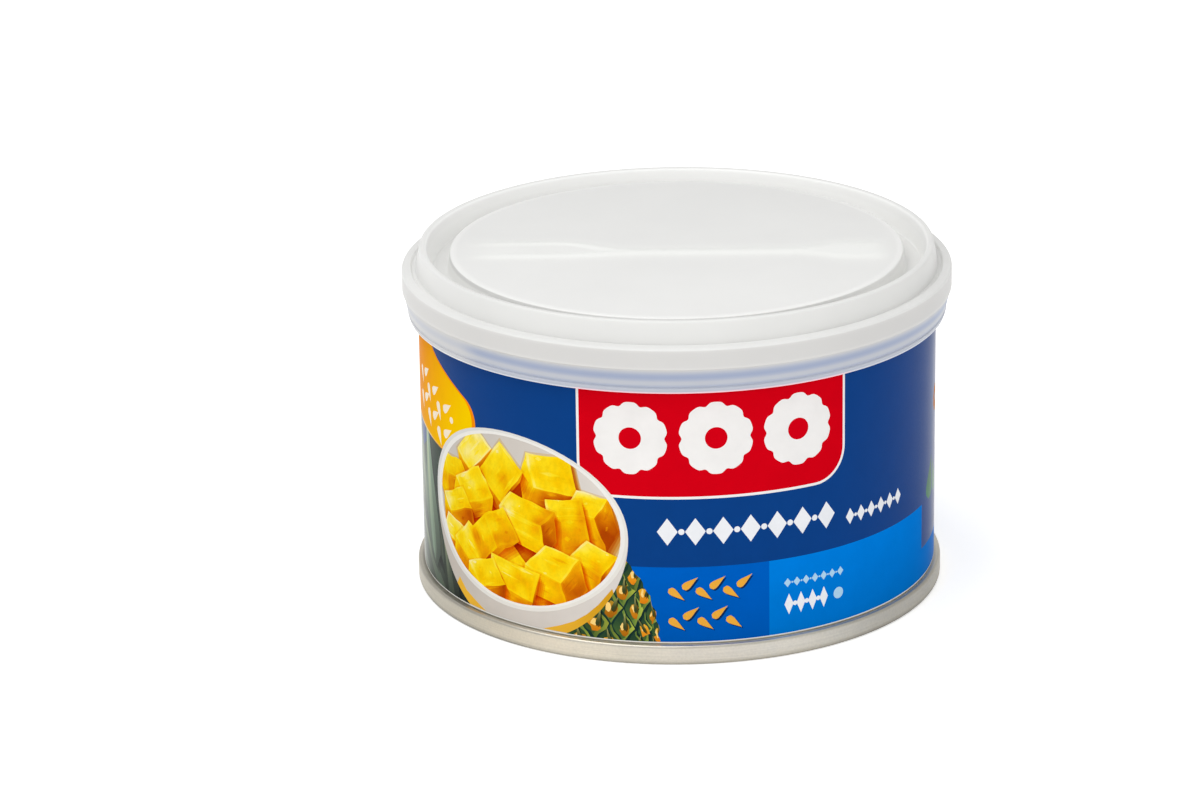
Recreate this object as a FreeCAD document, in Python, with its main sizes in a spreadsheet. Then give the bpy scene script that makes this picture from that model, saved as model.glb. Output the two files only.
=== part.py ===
"""Low round food can with a clip-on plastic lid: solid body, two seamed ends, paper label, lid.

Millimetres, +Z up.  The origin is the centre of the ring that the can stands on.
"""
import FreeCAD, Part
import math
import os
import re

import Sketcher
from FreeCAD import Placement, Rotation, Vector

# ---------------------------------------------------------------- driving dimensions
SIZES = {
    # steel can
    "can_height": 52.0,          # over both seams
    "body_radius": 41.65,        # outside of the steel wall
    "tin_thickness": 0.22,       # sheet of the two ends
    "seam_overhang": 1.15,       # rolled seam outside the wall
    "seam_height": 3.2,
    "seam_width": 1.3,           # radial width of the rolled seam
    "seam_rounding": 0.5,        # corners of the seam
    "chuck_lean": 0.9,           # how far the wall inside the seam leans inwards
    "sink_past_seam": 0.8,       # the countersink is this much deeper than the seam is high
    "sink_width": 1.6,
    "panel_rise": 1.0,           # from the countersink's floor back to the panel
    "bead_margin": 5.0,          # from the countersink to the stamped bead
    "bead_width": 6.5,
    "bead_rise": 0.45,
    "bead_slope": 0.6,
    # paper label
    "label_thickness": 0.12,
    "label_margin": 0.15,        # bare steel between the label and each seam
    "lap_width": 9.0,            # glued overlap at the back
    # plastic lid
    "lid_wall": 1.05,            # skirt
    "lid_top_wall": 0.9,         # everything across the top
    "lid_clearance": 0.4,        # skirt to seam, and plug to seam
    "skirt_below_seam": 3.7,     # from the seam's lower edge to the lid's
    "snap_gap": 0.3,             # lip to the doubled label
    "lip_height": 0.75,
    "lip_flare": 0.2,
    "lip_groove_depth": 0.22,
    "lip_groove_width": 0.4,
    "skirt_step_rise": 0.3,      # the skirt's step above the seam's lower edge
    "skirt_step": 0.18,
    "shoulder_width": 2.35,      # from the skirt's face to the raised ring's foot
    "shoulder_slope": 0.3,
    "shoulder_rounding": 0.45,
    "ring_width": 1.3,           # crown of the raised ring
    "ring_height": 3.25,         # above the shoulder
    "ring_draft": 0.6,
    "ring_rounding": 0.4,
    "moat_width": 2.5,
    "moat_drop": 0.7,            # moat floor below the shoulder
    "disc_height": 2.15,         # raised centre disc, above the shoulder
    "disc_draft": 0.5,
    "disc_rounding": 0.35,
    "crease_offset": 2.4,        # crease in the disc, in front of the centre
    "crease_width": 2.2,
    "crease_height": 0.25,
}

SHEET = "Sizes"

doc = FreeCAD.newDocument("low_round_can")
sheet = doc.addObject("Spreadsheet::Sheet", SHEET)
for row, (alias, number) in enumerate(SIZES.items(), start=1):
    sheet.set(f"A{row}", alias)
    sheet.set(f"B{row}", str(number))
    sheet.setAlias(f"B{row}", alias)
doc.recompute()


# ---------------------------------------------------------------- formulas made of sizes
# A formula is text such as "body_radius + seam_overhang"; the ones below are used by more than
# one piece, so what fits together is worked out once.
seam_radius = "(body_radius + seam_overhang)"
chuck_radius = f"({seam_radius} - seam_width)"
sink_depth = "(seam_height + sink_past_seam)"
sink_outer = f"({chuck_radius} - chuck_lean)"
sink_inner = f"({sink_outer} - sink_width)"
panel_depth = f"({sink_depth} - panel_rise)"
bead_outer = f"({sink_inner} - bead_margin)"
bead_inner = f"({bead_outer} - bead_width)"
upper_seam_foot = "(can_height - seam_height)"
paper_face = "(body_radius + label_thickness)"
lap_face = f"({paper_face} + label_thickness)"


def linked(formula):
    """The formula with every size written as a reference to the sheet."""
    return re.sub(r"[a-z_]+", lambda word: f"{SHEET}.{word[0]}" if word[0] in SIZES else word[0], formula)


def number_of(formula):
    """The present value of a formula."""
    value = sheet.evalExpression(linked(formula))
    return float(getattr(value, "Value", value))


# ---------------------------------------------------------------- sketched bodies
# A sketch numbers its own axes -1 and -2, and the ends of a line 1 and 2; its level axis starts
# at the origin.
LEVEL_AXIS = -1
UPRIGHT_AXIS = -2
START = 1
END = 2


def origin_plane(body, role):
    """One of a body's own origin planes, such as XZ_Plane."""
    return next(feature for feature in body.Origin.OriginFeatures if feature.Role == role)


def outline_sketch(body, name, role, corners):
    """A closed outline of straight sides; each corner is a pair of formulas."""
    sketch = body.newObject("Sketcher::SketchObject", name)
    sketch.AttachmentSupport = [(origin_plane(body, role), "")]
    sketch.MapMode = "FlatFace"
    points = [Vector(number_of(across), number_of(up), 0) for across, up in corners]
    followers = [(index + 1) % len(points) for index in range(len(points))]
    for point, follower in zip(points, followers):
        sketch.addGeometry(Part.LineSegment(point, points[follower]), False)
    for index, follower in enumerate(followers):
        sketch.addConstraint(Sketcher.Constraint("Coincident", index, END, follower, START))
    for index, (across, up) in enumerate(corners):
        place_corner(sketch, index, "DistanceX", UPRIGHT_AXIS, across)
        place_corner(sketch, index, "DistanceY", LEVEL_AXIS, up)
    return sketch


def place_corner(sketch, corner, kind, axis, formula):
    """Tie one coordinate of an outline's corner to its formula, or hold it on the axis."""
    value = number_of(formula)
    if value == 0:
        sketch.addConstraint(Sketcher.Constraint("PointOnObject", corner, START, axis))
        return
    tie = Sketcher.Constraint(kind, LEVEL_AXIS, START, corner, START, value)
    number = sketch.addConstraint(tie)
    sketch.setExpression(f"Constraints[{number}]", linked(formula))


def turned_body(label, corners):
    """A solid of revolution about Z from an outline of (radius, height) formulas."""
    body = doc.addObject("PartDesign::Body", label)
    body.Label = label
    sketch = outline_sketch(body, label + "_outline", "XZ_Plane", corners)
    turn = body.newObject("PartDesign::Revolution", label + "_turn")
    turn.Profile = sketch
    turn.ReferenceAxis = (sketch, ["V_Axis"])
    turn.Angle = 360
    doc.recompute()
    return body


def rim_names(shape, rims):
    """The names of the full circles at the given (radius, height) formulas."""
    wanted = [(number_of(radius), number_of(height)) for radius, height in rims]
    names = []
    for index, edge in enumerate(shape.Edges, start=1):
        if not isinstance(edge.Curve, Part.Circle):
            continue
        found = (edge.Curve.Radius, edge.Curve.Center.z)
        if any(math.dist(found, rim) < 1e-4 for rim in wanted):
            names.append(f"Edge{index}")
    if len(names) != len(rims):
        raise RuntimeError(f"{len(names)} of {len(rims)} rims found")
    return names


def round_rims(body, name, radius, rims):
    """Fillet the rims of the body's present shape."""
    base = body.Tip
    fillet = body.newObject("PartDesign::Fillet", name)
    fillet.Base = (base, rim_names(base.Shape, rims))
    fillet.setExpression("Radius", linked(radius))
    doc.recompute()


# ---------------------------------------------------------------- can ends
def end_open_side():
    """The side of an end that shows, from the axis to the seam's crown, which is at height 0."""
    return [
        ("0", panel_depth),
        (f"{bead_inner} - bead_slope", panel_depth),
        (bead_inner, f"{panel_depth} + bead_rise"),
        (f"{bead_outer} - bead_slope", f"{panel_depth} + bead_rise"),
        (bead_outer, panel_depth),
        (sink_inner, panel_depth),
        (sink_inner, sink_depth),
        (sink_outer, sink_depth),
        (chuck_radius, "0"),
    ]


def end_content_side():
    """The side of an end that faces the contents, from the seam's top to the axis."""
    chuck_at_seam_top = f"{chuck_radius} - chuck_lean * seam_height / {sink_depth}"
    panel_top = f"({panel_depth} + tin_thickness)"
    sink_top = f"{sink_depth} + tin_thickness"
    return [
        (f"{chuck_at_seam_top} + tin_thickness", "seam_height"),
        (f"{sink_outer} + tin_thickness", sink_top),
        (f"{sink_inner} - tin_thickness", sink_top),
        (f"{sink_inner} - tin_thickness", panel_top),
        (bead_outer, panel_top),
        (f"{bead_outer} - bead_slope", f"{panel_top} + bead_rise"),
        (bead_inner, f"{panel_top} + bead_rise"),
        (f"{bead_inner} - bead_slope", panel_top),
        ("0", panel_top),
    ]


def make_end(label):
    """One seamed end, as it lies at the bottom of the can."""
    seam_outside = [(seam_radius, "0"), (seam_radius, "seam_height")]
    body = turned_body(label, end_open_side() + seam_outside + end_content_side())
    round_rims(body, label + "_rounding", "seam_rounding", seam_outside + [(chuck_radius, "0")])
    return body


bottom_end = make_end("bottom_end")

top_end = make_end("top_end")
top_end.Placement = Placement(Vector(0, 0, 0), Rotation(Vector(1, 0, 0), 180))
top_end.setExpression("Placement.Base.z", linked("can_height"))


# ---------------------------------------------------------------- can body, filled
lower = end_content_side()
upper = [(radius, f"can_height - ({height})") for radius, height in reversed(lower)]
wall = [("body_radius", upper_seam_foot), ("body_radius", "seam_height")]
can_body = turned_body("can_body", lower + upper + wall)


# ---------------------------------------------------------------- paper label with its lap
def label_outline(inner, outer):
    """A thin upright strip between the two seams."""
    foot = "seam_height + label_margin"
    head = f"{upper_seam_foot} - label_margin"
    return [(inner, foot), (outer, foot), (outer, head), (inner, head)]


label = turned_body("label", label_outline("body_radius", paper_face))
lap_sketch = outline_sketch(label, "lap_outline", "YZ_Plane", label_outline(paper_face, lap_face))
lap = label.newObject("PartDesign::Revolution", "label_lap")
lap.Profile = lap_sketch
lap.ReferenceAxis = (lap_sketch, ["V_Axis"])
lap.Midplane = True
lap.setExpression("Angle", linked("lap_width / body_radius * 180 / pi"))
doc.recompute()


# ---------------------------------------------------------------- plastic lid
lid_edge = f"({upper_seam_foot} - skirt_below_seam)"
skirt_bore = f"({seam_radius} + lid_clearance)"
skirt_face = f"({skirt_bore} + lid_wall)"
snap_radius = f"({lap_face} + snap_gap)"
lip_face = f"({snap_radius} + lid_wall)"
lip_top = f"({lid_edge} + lip_height)"
groove_top = f"({lip_top} + lip_groove_width)"
step_foot = f"({upper_seam_foot} + skirt_step_rise)"
shoulder = "(can_height + lid_top_wall)"
shoulder_edge = f"({shoulder} - shoulder_slope)"
ring_foot = f"({skirt_face} - shoulder_width)"
ring_outer = f"({ring_foot} - ring_draft)"
ring_inner = f"({ring_outer} - ring_width)"
ring_crown = f"({shoulder} + ring_height)"
moat_outer = f"({ring_inner} - ring_draft)"
moat_inner = f"({moat_outer} - moat_width)"
moat_floor = f"({shoulder} - moat_drop)"
disc_radius = f"({moat_inner} - disc_draft)"
disc_face = f"({shoulder} + disc_height)"
plug_radius = f"({chuck_radius} - lid_clearance)"

lid_outside = [
    (lip_face, lid_edge),
    (f"{lip_face} + lip_flare", lip_top),
    (f"{lip_face} + lip_flare - lip_groove_depth", f"{lip_top} + lip_groove_width / 2"),
    (f"{lip_face} + lip_flare", groove_top),
    (f"{skirt_face} - skirt_step", step_foot),
    (skirt_face, f"{step_foot} + skirt_step"),
    (skirt_face, shoulder_edge),
    (ring_foot, shoulder),
    (ring_outer, ring_crown),
    (ring_inner, ring_crown),
    (moat_outer, moat_floor),
    (moat_inner, moat_floor),
    (disc_radius, disc_face),
    ("0", disc_face),
]
lid_underside = [
    ("0", f"{disc_face} - lid_top_wall"),
    (f"{disc_radius} - lid_top_wall", f"{disc_face} - lid_top_wall"),
    (f"{moat_inner} - lid_top_wall", f"{moat_floor} - lid_top_wall"),
    (plug_radius, f"{moat_floor} - lid_top_wall"),
    (plug_radius, "can_height"),
    (skirt_bore, "can_height"),
    (skirt_bore, upper_seam_foot),
    (snap_radius, groove_top),
    (snap_radius, lid_edge),
]

lid = turned_body("lid", lid_outside + lid_underside)

crease_back = "(-crease_offset + crease_width / 2)"
crease_front = "(-crease_offset - crease_width / 2)"
crease_reach = f"({disc_radius} - disc_rounding)"
crease_sketch = outline_sketch(lid, "crease_outline", "YZ_Plane", [
    (crease_front, f"{disc_face} - crease_height"),
    (crease_back, f"{disc_face} - crease_height"),
    (crease_back, disc_face),
    ("-crease_offset", f"{disc_face} + crease_height"),
    (crease_front, disc_face),
])
crease = lid.newObject("PartDesign::Pad", "disc_crease")
crease.Profile = crease_sketch
crease.Midplane = True
crease.setExpression(
    "Length",
    linked(f"2 * sqrt({crease_reach} ^ 2 - {crease_front} ^ 2) - 2 * disc_rounding"),
)
doc.recompute()

round_rims(lid, "shoulder_fillet", "shoulder_rounding", [(skirt_face, shoulder_edge)])
round_rims(lid, "ring_fillets", "ring_rounding", [
    (ring_outer, ring_crown),
    (ring_inner, ring_crown),
    (moat_outer, moat_floor),
    (moat_inner, moat_floor),
])
round_rims(lid, "disc_fillet", "disc_rounding", [(disc_radius, disc_face)])


# ---------------------------------------------------------------- check and write
pieces = [can_body, bottom_end, top_end, label, lid]
doc.recompute()
for item in doc.Objects:
    if "Invalid" in item.State or "Error" in item.State:
        raise RuntimeError(f"{item.Label} did not build: {item.State}")
for piece in pieces:
    shape = piece.Shape
    if shape.isNull() or not shape.isValid() or len(shape.Solids) != 1:
        raise RuntimeError(f"{piece.Label} is not one sound solid")

os.makedirs("parts", exist_ok=True)
for piece in pieces:
    piece.Shape.exportStep(f"parts/{piece.Label}.step")
    box = piece.Shape.BoundBox
    print(f"{piece.Label}: {piece.Shape.Volume:.1f} mm3, z {box.ZMin:.3f} to {box.ZMax:.3f}")
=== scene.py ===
"""A short tin of fruit pieces: steel ends, a printed paper wrapper and a milky snap-on lid."""

import math

import bpy
import numpy as np
from bpy.props import FloatProperty, FloatVectorProperty, IntProperty, PointerProperty
from mathutils import Matrix, Quaternion, Vector, noise
from mathutils.geometry import convex_hull_2d, delaunay_2d_cdt


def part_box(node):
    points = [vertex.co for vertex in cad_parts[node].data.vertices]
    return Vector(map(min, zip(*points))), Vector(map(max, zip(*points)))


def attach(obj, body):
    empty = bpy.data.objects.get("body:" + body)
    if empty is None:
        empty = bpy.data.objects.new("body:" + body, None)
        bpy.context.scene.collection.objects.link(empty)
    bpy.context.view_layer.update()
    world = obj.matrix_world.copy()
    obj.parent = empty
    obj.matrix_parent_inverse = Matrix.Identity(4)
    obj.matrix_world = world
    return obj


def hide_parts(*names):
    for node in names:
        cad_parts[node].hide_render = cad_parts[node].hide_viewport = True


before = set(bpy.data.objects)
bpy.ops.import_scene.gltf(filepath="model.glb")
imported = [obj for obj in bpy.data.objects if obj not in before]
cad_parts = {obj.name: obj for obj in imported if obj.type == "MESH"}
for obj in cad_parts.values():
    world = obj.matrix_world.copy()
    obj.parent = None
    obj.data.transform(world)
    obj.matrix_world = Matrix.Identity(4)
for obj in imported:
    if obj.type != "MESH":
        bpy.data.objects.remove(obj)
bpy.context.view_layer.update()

bl_info = {
    "name": "Pineapple tin",
    "version": (1, 0, 0),
    "blender": (4, 5, 0),
    "location": "View3D > Sidebar > Tin",
    "description": "Finishes a short tin with a paper wrapper and a plastic lid",
    "category": "Object",
}

MM = 0.001
PREFIX = "tin"

body_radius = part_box("can_body")[1].x / MM
seam_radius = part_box("bottom_end")[1].x / MM
seam_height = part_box("can_body")[0].z / MM
can_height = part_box("top_end")[1].z / MM
wrapper_low, wrapper_high = (corner.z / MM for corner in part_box("label"))
wrapper_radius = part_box("label")[1].x / MM
lap_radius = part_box("label")[1].y / MM
lid_low, lid_high = (corner.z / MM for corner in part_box("lid"))
lid_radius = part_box("lid")[1].x / MM

half_round = math.pi * wrapper_radius
upper_seam_foot = can_height - seam_height


# --- Settings ---


def measure(name, description, default, **more):
    """A setting that is one number: a size, an angle or a strength."""
    return FloatProperty(name=name, description=description, default=default, **more)


def ink(name, description, red, green, blue):
    """A printed or moulded colour, as it looks on a screen."""
    shade = (red / 255, green / 255, blue / 255)
    return FloatVectorProperty(
        name=name, description=description, default=shade, subtype="COLOR_GAMMA", size=3, min=0, max=1
    )


class SteelSettings(bpy.types.PropertyGroup):
    segments: IntProperty(
        name="Segments", description="Facets round each turned piece", default=256, min=32
    )
    colour: ink("Steel", "Colour of the bare tinplate", 238, 232, 217)
    rounding: measure("Seam rounding", "Radius of the seam's edges, in mm", 0.5, min=0.1)
    ring_step: measure("Ring step", "Distance between the mesh's rings, in mm", 0.5, min=0.2)


class LidSettings(bpy.types.PropertyGroup):
    colour: ink("Plastic", "Colour of the milky plastic", 235, 235, 233)
    skirt: ink("Skirt", "Colour of the skirt, dimmed by the steel behind it", 218, 217, 215)
    tint: ink("Tint", "Colour of the skirt where the print shines through", 163, 175, 202)
    crease_height: measure("Crease height", "How far the crease stands up, in mm", 0.25, min=0.0)
    crease_offset: measure("Crease offset", "How far in front of the middle it lies, in mm", 2.9)
    ring_step: measure("Ring step", "Distance between the mesh's rings, in mm", 0.45, min=0.2)


class WrapperSettings(bpy.types.PropertyGroup):
    ground: ink("Ground", "Navy ground of the print", 4, 62, 132)
    band: ink("Band", "Lower band under the picture", 0, 90, 184)
    bright: ink("Bright band", "Lower band beside the picture", 0, 120, 212)
    panel: ink("Panel", "Red panel", 212, 2, 22)
    paper: ink("Paper", "Bare paper", 243, 243, 240)
    lap: measure("Lap", "How much the wrapper's ends overlap, in mm", 9.0, min=1.0)
    grid: measure("Grid", "Distance between the mesh's lines, in mm", 1.46, min=0.5)


class StageSettings(bpy.types.PropertyGroup):
    distance: measure("Distance", "Camera to origin", 0.8, unit="LENGTH")
    elevation: measure("Elevation", "Camera above the floor", math.radians(21.3405), subtype="ANGLE")
    roll: measure("Roll", "The camera's roll", math.radians(-0.8541), subtype="ANGLE")
    lens: measure("Lens", "Focal length, in mm", 145.73, min=1.0)
    sky: measure("Sky", "Strength of the light from all round", 0.6, min=0.0)
    key: measure("Key lamp", "Power of the lamp above, in W", 5.0, min=0.0)
    fill: measure("Fill lamp", "Power of the lamp in front, in W", 4.0, min=0.0)


# --- Colour ---


def linear(shade):
    """Screen colours, from 0 to 1, as the linear numbers that shaders work with."""
    shade = np.asarray(shade, float)
    return np.where(shade <= 0.04045, shade / 12.92, ((shade + 0.055) / 1.055) ** 2.4)


def rgb(red, green, blue):
    return np.array((red, green, blue)) / 255


def socket_colour(shade):
    return (*linear(shade), 1.0)


# --- Materials ---

BUMP_REACH = 0.02 * MM


def node(tree, kind, values=None, **settings):
    """A node with its settings, and values or links for its inputs by name or number."""
    made = tree.nodes.new(kind)
    for name, value in settings.items():
        setattr(made, name, value)
    for name, value in (values or {}).items():
        if isinstance(value, bpy.types.NodeSocket):
            tree.links.new(value, made.inputs[name])
        else:
            made.inputs[name].default_value = value
    return made


def math_node(tree, operation, first, second=0.0):
    return node(tree, "ShaderNodeMath", {0: first, 1: second}, operation=operation).outputs[0]


def times(tree, first, second):
    return math_node(tree, "MULTIPLY", first, second)


def bare_tree(owner):
    """The node tree of a new material or world, emptied."""
    owner.use_nodes = True
    owner.node_tree.nodes.clear()
    return owner.node_tree


def surface(tree, base, roughness, height, strength, **more):
    """The shader and its output. Its other inputs are given by name, with _ for each space."""
    normal = node(tree, "ShaderNodeBump", {"Height": height, "Strength": strength, "Distance": BUMP_REACH})
    values = {"Base Color": base, "Roughness": roughness, "Normal": normal.outputs["Normal"]}
    values.update({name.replace("_", " "): value for name, value in more.items()})
    shader = node(tree, "ShaderNodeBsdfPrincipled", values)
    node(tree, "ShaderNodeOutputMaterial", {"Surface": shader.outputs["BSDF"]})


def object_places(tree, scale):
    """Object coordinates, stretched: larger numbers make finer patterns, in turns per metre."""
    where = node(tree, "ShaderNodeTexCoord").outputs["Object"]
    return node(tree, "ShaderNodeMapping", {"Vector": where, "Scale": scale}).outputs["Vector"]


def attribute(tree, name):
    return node(tree, "ShaderNodeAttribute", attribute_name=name).outputs["Fac"]


def vertex_colour(tree, name):
    return node(tree, "ShaderNodeVertexColor", layer_name=name).outputs["Color"]


def mottle(tree, scale, detail=3.0, roughness=0.55):
    """Noise round 0.5 on stretched Object coordinates."""
    where = object_places(tree, scale)
    values = {"Vector": where, "Scale": 1.0, "Detail": detail, "Roughness": roughness}
    return node(tree, "ShaderNodeTexNoise", values).outputs["Fac"]


def spread(tree, value, low, high):
    """A noise value from 0.25 to 0.75 laid out from low to high."""
    values = {"Value": value, "From Min": 0.25, "From Max": 0.75, "To Min": low, "To Max": high}
    return node(tree, "ShaderNodeMapRange", values).outputs["Result"]


def dimmed(tree, colour, amount):
    """A colour times a grey amount. The mix has inputs for each kind of data, so those are found by kind."""
    grey = node(tree, "ShaderNodeCombineColor", {"Red": amount, "Green": amount, "Blue": amount})
    made = node(tree, "ShaderNodeMix", {0: 1.0}, data_type="RGBA", blend_type="MULTIPLY")
    first, second = (socket for socket in made.inputs if socket.type == "RGBA")
    if isinstance(colour, bpy.types.NodeSocket):
        tree.links.new(colour, first)
    else:
        first.default_value = colour
    tree.links.new(grey.outputs["Color"], second)
    return next(socket for socket in made.outputs if socket.type == "RGBA")


def tinplate(steel):
    """Rolled tinplate: a soft grey sheen with fine rolling lines and faint cloudy spots, darkened by the
    painted shade that the mesh carries.
    """
    material = bpy.data.materials.new("Tinplate")
    tree = bare_tree(material)
    lines = mottle(tree, (90, 90, 5200), detail=2.0)
    grain = mottle(tree, (2600, 2600, 2600), detail=2.0)
    clouds = mottle(tree, (160, 160, 160), detail=3.0)
    light = times(tree, spread(tree, lines, 0.93, 1.03), spread(tree, grain, 0.94, 1.04))
    light = times(tree, light, spread(tree, clouds, 0.95, 1.03))
    # painted shade from the mesh darkens the steel
    light = times(tree, light, math_node(tree, "SUBTRACT", 1.0, attribute(tree, "painted_shade")))
    base = dimmed(tree, socket_colour(steel.colour), light)
    height = math_node(tree, "ADD", lines, times(tree, grain, 0.6))
    surface(tree, base, spread(tree, clouds, 0.34, 0.46), height, 0.35, Metallic=1.0)
    return material


def printed_paper(name, gloss, sheen):
    """Coated paper: its ink comes from the mesh, with fruit fibres where the print shows flesh."""
    material = bpy.data.materials.new(name)
    tree = bare_tree(material)
    fibres = mottle(tree, (1500, 1500, 1100), detail=4.0, roughness=0.65)
    wet = times(tree, math_node(tree, "SUBTRACT", fibres, 0.5), attribute(tree, "flesh"))
    press = spread(tree, mottle(tree, (260, 260, 260)), 0.965, 1.03)
    base = dimmed(tree, vertex_colour(tree, "ink"), math_node(tree, "ADD", press, times(tree, wet, 0.4)))
    pulp = mottle(tree, (3200, 3200, 3200), detail=2.0)
    cockle = mottle(tree, (38, 38, 70), detail=1.0)
    height = math_node(tree, "ADD", pulp, times(tree, cockle, 6.0))
    shine = {"Specular_IOR_Level": gloss, "Sheen_Weight": sheen, "Sheen_Roughness": 0.2}
    surface(tree, base, spread(tree, pulp, 0.36, 0.44), height, 0.3, **shine)
    return material


def milky_plastic():
    """Thin milky plastic: its colour, with its painted shade and highlights, comes from the mesh, with faint
    clouds and a soft skin.
    """
    material = bpy.data.materials.new("Milky plastic")
    tree = bare_tree(material)
    clouds = mottle(tree, (55, 55, 55), detail=3.0)
    base = dimmed(tree, vertex_colour(tree, "milk_and_painted_light"), spread(tree, clouds, 0.98, 1.015))
    skin = mottle(tree, (900, 900, 900), detail=2.0)
    ripple = math_node(tree, "ADD", skin, times(tree, clouds, 5.0))
    shine = {"Specular_IOR_Level": 0.3, "Sheen_Weight": 0.15, "Sheen_Roughness": 0.2}
    depth = {"Subsurface_Weight": 0.25, "Subsurface_Radius": (1.0, 1.0, 1.0), "Subsurface_Scale": MM}
    surface(tree, base, spread(tree, clouds, 0.34, 0.42), ripple, 0.3, **shine, **depth)
    return material


# --- Turned pieces ---

ARC_STEPS = 6
SHARPEST = math.radians(40)
DOUBLES = 1e-4 * MM


def rounded(corners):
    """Points along an outline of (radius, height, rounding) corners, with an arc at each rounded one."""
    points = []
    for number, (x, z, rounding) in enumerate(corners):
        here = np.array((x, z), float)
        if not rounding:
            points.append(here)
            continue
        before = np.array(corners[number - 1][:2]) - here
        after = np.array(corners[number + 1][:2]) - here
        before, after = before / np.linalg.norm(before), after / np.linalg.norm(after)
        half = math.acos(np.clip(before @ after, -1, 1)) / 2
        centre = here + (before + after) / np.linalg.norm(before + after) * rounding / math.sin(half)
        start = here + before * rounding / math.tan(half) - centre
        end = here + after * rounding / math.tan(half) - centre
        sweep = math.pi - 2 * half
        for k in range(ARC_STEPS + 1):
            near = math.sin(sweep * (1 - k / ARC_STEPS)) / math.sin(sweep)
            far = math.sin(sweep * k / ARC_STEPS) / math.sin(sweep)
            points.append(centre + start * near + end * far)
    return points


def divided(points, longest):
    """The same outline with no run longer than longest."""
    made = [points[0]]
    for here, there in zip(points, points[1:]):
        count = max(1, math.ceil(np.linalg.norm(there - here) / longest - 1e-6))
        made += [here + (there - here) * (k + 1) / count for k in range(count)]
    return made


def turning_tree():
    """Geometry Nodes that turn an outline, whose points lie in order in the XZ plane, about the Z axis."""
    tree = bpy.data.node_groups.new("Turned piece", "GeometryNodeTree")
    face = tree.interface
    face.new_socket("Outline", in_out="INPUT", socket_type="NodeSocketGeometry")
    segments = face.new_socket("Segments", in_out="INPUT", socket_type="NodeSocketInt")
    segments.default_value = 256
    face.new_socket("Material", in_out="INPUT", socket_type="NodeSocketMaterial")
    face.new_socket("Piece", in_out="OUTPUT", socket_type="NodeSocketGeometry")
    given = node(tree, "NodeGroupInput").outputs
    size = node(tree, "GeometryNodeAttributeDomainSize", {"Geometry": given["Outline"]}, component="MESH")
    rows = size.outputs["Point Count"]
    columns = math_node(tree, "ADD", given["Segments"], 1)
    sheet = node(tree, "GeometryNodeMeshGrid", {"Vertices X": columns, "Vertices Y": rows})
    index = node(tree, "GeometryNodeInputIndex").outputs["Index"]
    column = math_node(tree, "FLOOR", math_node(tree, "DIVIDE", math_node(tree, "ADD", index, 0.5), rows))
    row = math_node(tree, "SUBTRACT", index, times(tree, column, rows))
    place = node(tree, "GeometryNodeInputPosition").outputs["Position"]
    picked = {"Geometry": given["Outline"], "Value": place, "Index": row}
    point = node(tree, "GeometryNodeSampleIndex", picked, data_type="FLOAT_VECTOR").outputs["Value"]
    turn = math_node(tree, "DIVIDE", times(tree, column, 2 * math.pi), given["Segments"])
    turned = node(tree, "ShaderNodeVectorRotate", {"Vector": point, "Angle": turn}, rotation_type="Z_AXIS")
    moved = {"Geometry": sheet.outputs["Mesh"], "Position": turned.outputs["Vector"]}
    shape = node(tree, "GeometryNodeSetPosition", moved).outputs["Geometry"]
    for kind, values in (
        ("MergeByDistance", {"Distance": DOUBLES}), ("SetShadeSmooth", {}), ("RealizeInstances", {}),
        ("SetMaterial", {"Material": given["Material"]}),
    ):
        shape = node(tree, "GeometryNode" + kind, {"Geometry": shape, **values}).outputs["Geometry"]
    node(tree, "NodeGroupOutput", {"Piece": shape})
    return tree


def linked(name, data):
    """A new object of the scene."""
    made = bpy.data.objects.new(name, data)
    bpy.context.scene.collection.objects.link(made)
    return made


def socket_id(tree, name):
    return next(s.identifier for s in tree.interface.items_tree if s.name == name and s.in_out == "INPUT")


def turned_piece(name, points, segments, material):
    """A closed piece turned from an outline in millimetres that runs from the axis outwards, up and back."""
    outline = bpy.data.meshes.new(name + "_outline")
    corners = [(x * MM, 0.0, z * MM) for x, z in points]
    outline.from_pydata(corners, [(k, k + 1) for k in range(len(corners) - 1)], [])
    holder = linked(name + "_outline", outline)
    tree = bpy.data.node_groups.get("Turned piece") or turning_tree()
    turning = holder.modifiers.new("Turning", "NODES")
    turning.node_group = tree
    turning[socket_id(tree, "Segments")] = segments
    turning[socket_id(tree, "Material")] = material
    depsgraph = bpy.context.evaluated_depsgraph_get()
    mesh = bpy.data.meshes.new_from_object(holder.evaluated_get(depsgraph), depsgraph=depsgraph)
    holder.modifiers.remove(turning)
    bpy.data.objects.remove(holder)
    mesh.name = name
    mesh.set_sharp_from_angle(angle=SHARPEST)
    return linked(name, mesh)


def vertex_places(mesh):
    places = np.empty(len(mesh.vertices) * 3)
    mesh.vertices.foreach_get("co", places)
    return places.reshape(-1, 3)


def smooth_step(value, low, high):
    t = np.clip((value - low) / (high - low), 0.0, 1.0)
    return t * t * (3 - 2 * t)


def between(value, low, high, soft):
    """1 from low to high, falling to 0 over soft at each end."""
    return smooth_step(value, low - soft, low) * (1.0 - smooth_step(value, high, high + soft))


def around(x, y):
    """How far each point lies from the axis, and how far round to the right of the front, in degrees."""
    return np.hypot(x, y), np.degrees(np.arctan2(x, -y))


def placed(piece, node_name):
    """The piece rides on the body and stands for its CAD node, which is hidden."""
    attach(piece, "root")
    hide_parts(node_name)


# --- Steel ---

# sizes in mm, from the double seam inwards
TIN_THICKNESS = 0.22
SEAM_WIDTH = 1.3
CHUCK_LEAN = 0.9
SINK_PAST_SEAM = 0.8
SINK_WIDTH = 1.6
PANEL_RISE = 1.0
BEAD_MARGIN = 5.0
BEAD_WIDTH = 6.5
BEAD_RISE = 0.45
BEAD_SLOPE = 0.6
PRESSED = 0.3
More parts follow.
